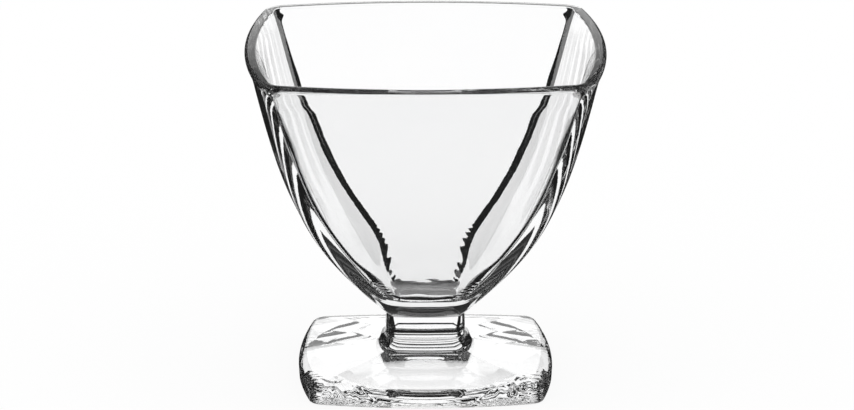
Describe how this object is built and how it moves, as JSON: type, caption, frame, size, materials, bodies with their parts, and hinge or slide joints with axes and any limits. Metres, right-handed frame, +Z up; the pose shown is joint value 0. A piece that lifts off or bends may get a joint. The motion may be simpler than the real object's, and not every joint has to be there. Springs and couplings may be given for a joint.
{
  "type": "ice cream coupe",
  "caption": "Square footed coupe in clear pressed glass for ice cream or fruit: a tapering bowl with bulged sides, a short square stem and a hipped square foot.",
  "frame": {"origin": "centre of the bearing face under the foot, on the table", "axes": "+Z up through the mouth of the bowl; X and Y square to the sides of the bowl"},
  "size_m": [0.0954, 0.0954, 0.09],
  "materials": {
    "bowl_glass": "clear, fire-polished, with faint pressing ripples",
    "stem_glass": "clear, fire-polished",
    "foot_glass": "clear, fire-polished above, chilled and slightly rippled underneath"
  },
  "bodies": {
    "root": {"bowl": "bowl_glass", "stem": "stem_glass", "foot": "foot_glass"}
  },
  "joints": []
}
